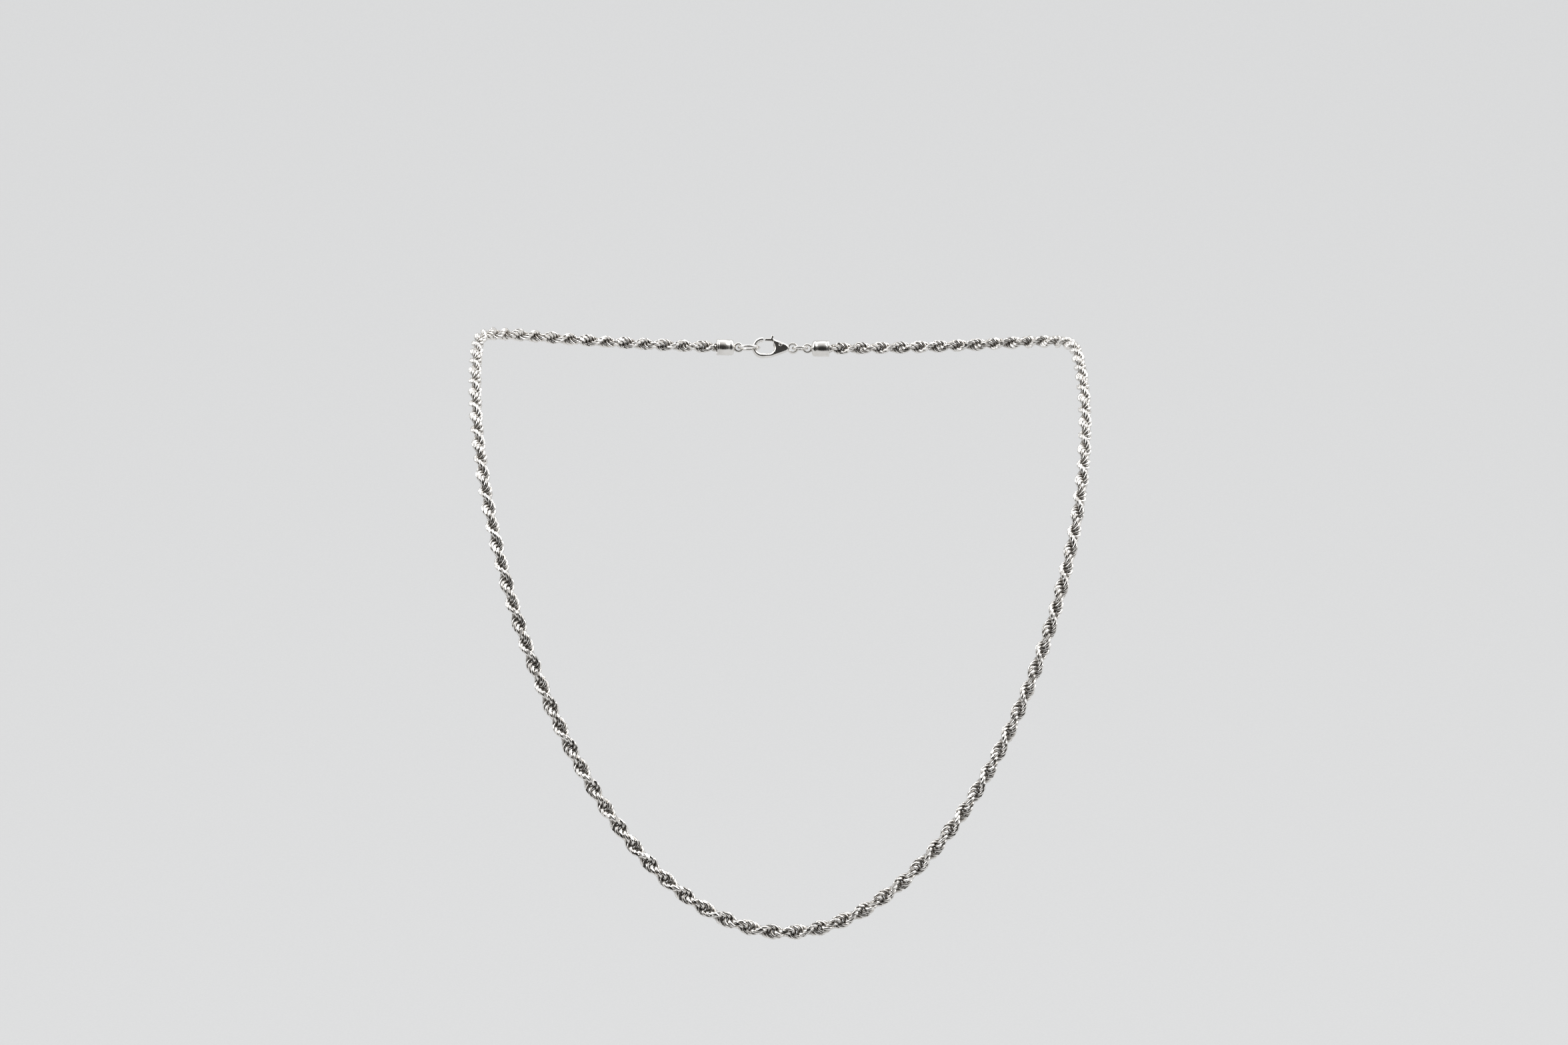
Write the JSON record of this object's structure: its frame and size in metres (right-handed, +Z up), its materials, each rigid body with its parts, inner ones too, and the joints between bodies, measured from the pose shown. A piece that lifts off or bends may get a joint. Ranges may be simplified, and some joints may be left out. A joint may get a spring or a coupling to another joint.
{
  "type": "chain necklace",
  "caption": "Rope chain necklace of twisted interlocked wire links, hanging as worn, closed behind the neck by a lobster clasp with end caps and rings.",
  "frame": {"origin": "midway between the two places where the chain crosses the tops of the shoulders, at the height of the rope centre there", "axes": "+Z up, +X to the wearer's left, +Y towards the nape, so the front of the necklace faces -Y"},
  "size_m": [0.1483, 0.1156, 0.1478],
  "materials": {
    "rope_silver": "polished, diamond cut",
    "clasp_silver": "polished",
    "spring_steel": "drawn wire"
  },
  "bodies": {
    "shoulders": {"left_shoulder_rope": "rope_silver", "right_shoulder_rope": "rope_silver"},
    "left_front_01": {"left_front_rope_01": "rope_silver"},
    "left_front_02": {"left_front_rope_02": "rope_silver"},
    "left_front_03": {"left_front_rope_03": "rope_silver"},
    "left_front_04": {"left_front_rope_04": "rope_silver"},
    "left_front_05": {"left_front_rope_05": "rope_silver"},
    "left_front_06": {"left_front_rope_06": "rope_silver"},
    "left_front_07": {"left_front_rope_07": "rope_silver"},
    "left_front_08": {"left_front_rope_08": "rope_silver"},
    "left_front_09": {"left_front_rope_09": "rope_silver"},
    "left_front_10": {"left_front_rope_10": "rope_silver"},
    "left_front_11": {"left_front_rope_11": "rope_silver"},
    "left_front_12": {"left_front_rope_12": "rope_silver", "left_front_rope_13": "rope_silver", "left_front_rope_14": "rope_silver", "left_front_rope_15": "rope_silver"},
    "left_back_1": {"left_back_rope_1": "rope_silver"},
    "left_back_2": {"left_back_rope_2": "rope_silver"},
    "left_back_3": {"left_back_rope_3": "rope_silver"},
    "left_back_4": {"left_back_rope_4": "rope_silver", "left_back_rope_5": "rope_silver", "left_back_rope_6": "rope_silver", "left_end_cap": "clasp_silver"},
    "right_front_01": {"right_front_rope_01": "rope_silver"},
    "right_front_02": {"right_front_rope_02": "rope_silver"},
    "right_front_03": {"right_front_rope_03": "rope_silver"},
    "right_front_04": {"right_front_rope_04": "rope_silver"},
    "right_front_05": {"right_front_rope_05": "rope_silver"},
    "right_front_06": {"right_front_rope_06": "rope_silver"},
    "right_front_07": {"right_front_rope_07": "rope_silver"},
    "right_front_08": {"right_front_rope_08": "rope_silver"},
    "right_front_09": {"right_front_rope_09": "rope_silver"},
    "right_front_10": {"right_front_rope_10": "rope_silver"},
    "right_front_11": {"right_front_rope_11": "rope_silver"},
    "right_front_12": {"right_front_rope_12": "rope_silver", "right_front_rope_13": "rope_silver", "right_front_rope_14": "rope_silver", "right_front_rope_15": "rope_silver"},
    "right_back_1": {"right_back_rope_1": "rope_silver"},
    "right_back_2": {"right_back_rope_2": "rope_silver"},
    "right_back_3": {"right_back_rope_3": "rope_silver"},
    "right_back_4": {"right_back_rope_4": "rope_silver", "right_back_rope_5": "rope_silver", "right_back_rope_6": "rope_silver", "right_end_cap": "clasp_silver"},
    "catch_ring": {"catch_ring": "clasp_silver"},
    "jump_ring": {"jump_ring": "clasp_silver"},
    "clasp": {"clasp_claw": "clasp_silver", "lever_pin": "clasp_silver", "lever_spring": "spring_steel"},
    "clasp_lever": {"clasp_lever": "clasp_silver"}
  },
  "joints": [
    {"name": "left_front_bend_01", "type": "hinge", "parent": "shoulders", "child": "left_front_01", "pos_m": [-0.0726, -0.0051, -0.00317], "axis": [-1, 0, 0], "range_deg": [0, 25]},
    {"name": "left_front_bend_02", "type": "hinge", "parent": "left_front_01", "child": "left_front_02", "pos_m": [-0.07207, -0.01518, -0.01017], "axis": [-1, 0, 0], "range_deg": [0, 25]},
    {"name": "left_front_bend_03", "type": "hinge", "parent": "left_front_02", "child": "left_front_03", "pos_m": [-0.07116, -0.02465, -0.01794], "axis": [-1, 0, 0], "range_deg": [0, 25]},
    {"name": "left_front_bend_04", "type": "hinge", "parent": "left_front_03", "child": "left_front_04", "pos_m": [-0.06984, -0.03337, -0.02649], "axis": [-1, 0, 0], "range_deg": [0, 25]},
    {"name": "left_front_bend_05", "type": "hinge", "parent": "left_front_04", "child": "left_front_05", "pos_m": [-0.06807, -0.04116, -0.03582], "axis": [-1, 0, 0], "range_deg": [0, 25]},
    {"name": "left_front_bend_06", "type": "hinge", "parent": "left_front_05", "child": "left_front_06", "pos_m": [-0.06579, -0.04791, -0.04583], "axis": [-1, 0, 0], "range_deg": [0, 25]},
    {"name": "left_front_bend_07", "type": "hinge", "parent": "left_front_06", "child": "left_front_07", "pos_m": [-0.06295, -0.05356, -0.05636], "axis": [-1, 0, 0], "range_deg": [0, 25]},
    {"name": "left_front_bend_08", "type": "hinge", "parent": "left_front_07", "child": "left_front_08", "pos_m": [-0.05954, -0.05816, -0.06722], "axis": [-1, 0, 0], "range_deg": [0, 25]},
    {"name": "left_front_bend_09", "type": "hinge", "parent": "left_front_08", "child": "left_front_09", "pos_m": [-0.0555, -0.06182, -0.07824], "axis": [-1, 0, 0], "range_deg": [0, 25]},
    {"name": "left_front_bend_10", "type": "hinge", "parent": "left_front_09", "child": "left_front_10", "pos_m": [-0.05078, -0.06467, -0.08921], "axis": [-1, 0, 0], "range_deg": [0, 25]},
    {"name": "left_front_bend_11", "type": "hinge", "parent": "left_front_10", "child": "left_front_11", "pos_m": [-0.04529, -0.06687, -0.09999], "axis": [-1, 0, 0], "range_deg": [0, 25]},
    {"name": "left_front_bend_12", "type": "hinge", "parent": "left_front_11", "child": "left_front_12", "pos_m": [-0.03891, -0.06854, -0.11035], "axis": [-1, 0, 0], "range_deg": [0, 25]},
    {"name": "left_back_bend_1", "type": "hinge", "parent": "shoulders", "child": "left_back_1", "pos_m": [-0.07204, 0.00538, 0.0025], "axis": [1, 0, 0], "range_deg": [0, 20]},
    {"name": "left_back_bend_2", "type": "hinge", "parent": "left_back_1", "child": "left_back_2", "pos_m": [-0.06654, 0.01612, 0.00486], "axis": [1, 0, 0], "range_deg": [0, 20]},
    {"name": "left_back_bend_3", "type": "hinge", "parent": "left_back_2", "child": "left_back_3", "pos_m": [-0.05747, 0.0245, 0.00557], "axis": [1, 0, 0], "range_deg": [0, 20]},
    {"name": "left_back_bend_4", "type": "hinge", "parent": "left_back_3", "child": "left_back_4", "pos_m": [-0.04671, 0.03065, 0.00582], "axis": [1, 0, 0], "range_deg": [0, 20]},
    {"name": "right_front_bend_01", "type": "hinge", "parent": "shoulders", "child": "right_front_01", "pos_m": [0.0726, -0.0051, -0.00317], "axis": [-1, 0, 0], "range_deg": [0, 25]},
    {"name": "right_front_bend_02", "type": "hinge", "parent": "right_front_01", "child": "right_front_02", "pos_m": [0.07207, -0.01518, -0.01017], "axis": [-1, 0, 0], "range_deg": [0, 25]},
    {"name": "right_front_bend_03", "type": "hinge", "parent": "right_front_02", "child": "right_front_03", "pos_m": [0.07116, -0.02465, -0.01794], "axis": [-1, 0, 0], "range_deg": [0, 25]},
    {"name": "right_front_bend_04", "type": "hinge", "parent": "right_front_03", "child": "right_front_04", "pos_m": [0.06984, -0.03337, -0.02649], "axis": [-1, 0, 0], "range_deg": [0, 25]},
    {"name": "right_front_bend_05", "type": "hinge", "parent": "right_front_04", "child": "right_front_05", "pos_m": [0.06807, -0.04116, -0.03582], "axis": [-1, 0, 0], "range_deg": [0, 25]},
    {"name": "right_front_bend_06", "type": "hinge", "parent": "right_front_05", "child": "right_front_06", "pos_m": [0.06579, -0.04791, -0.04583], "axis": [-1, 0, 0], "range_deg": [0, 25]},
    {"name": "right_front_bend_07", "type": "hinge", "parent": "right_front_06", "child": "right_front_07", "pos_m": [0.06295, -0.05356, -0.05636], "axis": [-1, 0, 0], "range_deg": [0, 25]},
    {"name": "right_front_bend_08", "type": "hinge", "parent": "right_front_07", "child": "right_front_08", "pos_m": [0.05954, -0.05816, -0.06722], "axis": [-1, 0, 0], "range_deg": [0, 25]},
    {"name": "right_front_bend_09", "type": "hinge", "parent": "right_front_08", "child": "right_front_09", "pos_m": [0.0555, -0.06182, -0.07824], "axis": [-1, 0, 0], "range_deg": [0, 25]},
    {"name": "right_front_bend_10", "type": "hinge", "parent": "right_front_09", "child": "right_front_10", "pos_m": [0.05078, -0.06467, -0.08921], "axis": [-1, 0, 0], "range_deg": [0, 25]},
    {"name": "right_front_bend_11", "type": "hinge", "parent": "right_front_10", "child": "right_front_11", "pos_m": [0.04529, -0.06687, -0.09999], "axis": [-1, 0, 0], "range_deg": [0, 25]},
    {"name": "right_front_bend_12", "type": "hinge", "parent": "right_front_11", "child": "right_front_12", "pos_m": [0.03891, -0.06854, -0.11035], "axis": [-1, 0, 0], "range_deg": [0, 25]},
    {"name": "right_back_bend_1", "type": "hinge", "parent": "shoulders", "child": "right_back_1", "pos_m": [0.07204, 0.00538, 0.0025], "axis": [1, 0, 0], "range_deg": [0, 20]},
    {"name": "right_back_bend_2", "type": "hinge", "parent": "right_back_1", "child": "right_back_2", "pos_m": [0.06654, 0.01612, 0.00486], "axis": [1, 0, 0], "range_deg": [0, 20]},
    {"name": "right_back_bend_3", "type": "hinge", "parent": "right_back_2", "child": "right_back_3", "pos_m": [0.05747, 0.0245, 0.00557], "axis": [1, 0, 0], "range_deg": [0, 20]},
    {"name": "right_back_bend_4", "type": "hinge", "parent": "right_back_3", "child": "right_back_4", "pos_m": [0.04671, 0.03065, 0.00582], "axis": [1, 0, 0], "range_deg": [0, 20]},
    {"name": "catch_ring_roll", "type": "hinge", "parent": "left_back_4", "child": "catch_ring", "pos_m": [-0.0062, 0.0397, 0.00598], "axis": [1, 0, 0], "range_deg": [-20, 20]},
    {"name": "jump_ring_roll", "type": "hinge", "parent": "right_back_4", "child": "jump_ring", "pos_m": [0.00695, 0.0397, 0.00598], "axis": [1, 0, 0], "range_deg": [-20, 20]},
    {"name": "clasp_roll", "type": "hinge", "parent": "jump_ring", "child": "clasp", "pos_m": [0.00695, 0.0397, 0.00598], "axis": [1, 0, 0], "range_deg": [-15, 15]},
    {"name": "lever_press", "type": "hinge", "parent": "clasp", "child": "clasp_lever", "pos_m": [0.0019, 0.0397, 0.00688], "axis": [0, -1, 0], "range_deg": [0, 20], "stiffness_Nm_per_rad": 0.0004, "springref_deg": -20.05, "deforming": ["lever_spring"]}
  ],
  "couplings": [
    {"joint": "right_front_bend_01", "follows": "left_front_bend_01", "ratio": 1},
    {"joint": "right_front_bend_02", "follows": "left_front_bend_02", "ratio": 1},
    {"joint": "right_front_bend_03", "follows": "left_front_bend_03", "ratio": 1},
    {"joint": "right_front_bend_04", "follows": "left_front_bend_04", "ratio": 1},
    {"joint": "right_front_bend_05", "follows": "left_front_bend_05", "ratio": 1},
    {"joint": "right_front_bend_06", "follows": "left_front_bend_06", "ratio": 1},
    {"joint": "right_front_bend_07", "follows": "left_front_bend_07", "ratio": 1},
    {"joint": "right_front_bend_08", "follows": "left_front_bend_08", "ratio": 1},
    {"joint": "right_front_bend_09", "follows": "left_front_bend_09", "ratio": 1},
    {"joint": "right_front_bend_10", "follows": "left_front_bend_10", "ratio": 1},
    {"joint": "right_front_bend_11", "follows": "left_front_bend_11", "ratio": 1},
    {"joint": "right_front_bend_12", "follows": "left_front_bend_12", "ratio": 1},
    {"joint": "right_back_bend_1", "follows": "left_back_bend_1", "ratio": 1},
    {"joint": "right_back_bend_2", "follows": "left_back_bend_2", "ratio": 1},
    {"joint": "right_back_bend_3", "follows": "left_back_bend_3", "ratio": 1},
    {"joint": "right_back_bend_4", "follows": "left_back_bend_4", "ratio": 1}
  ]
}
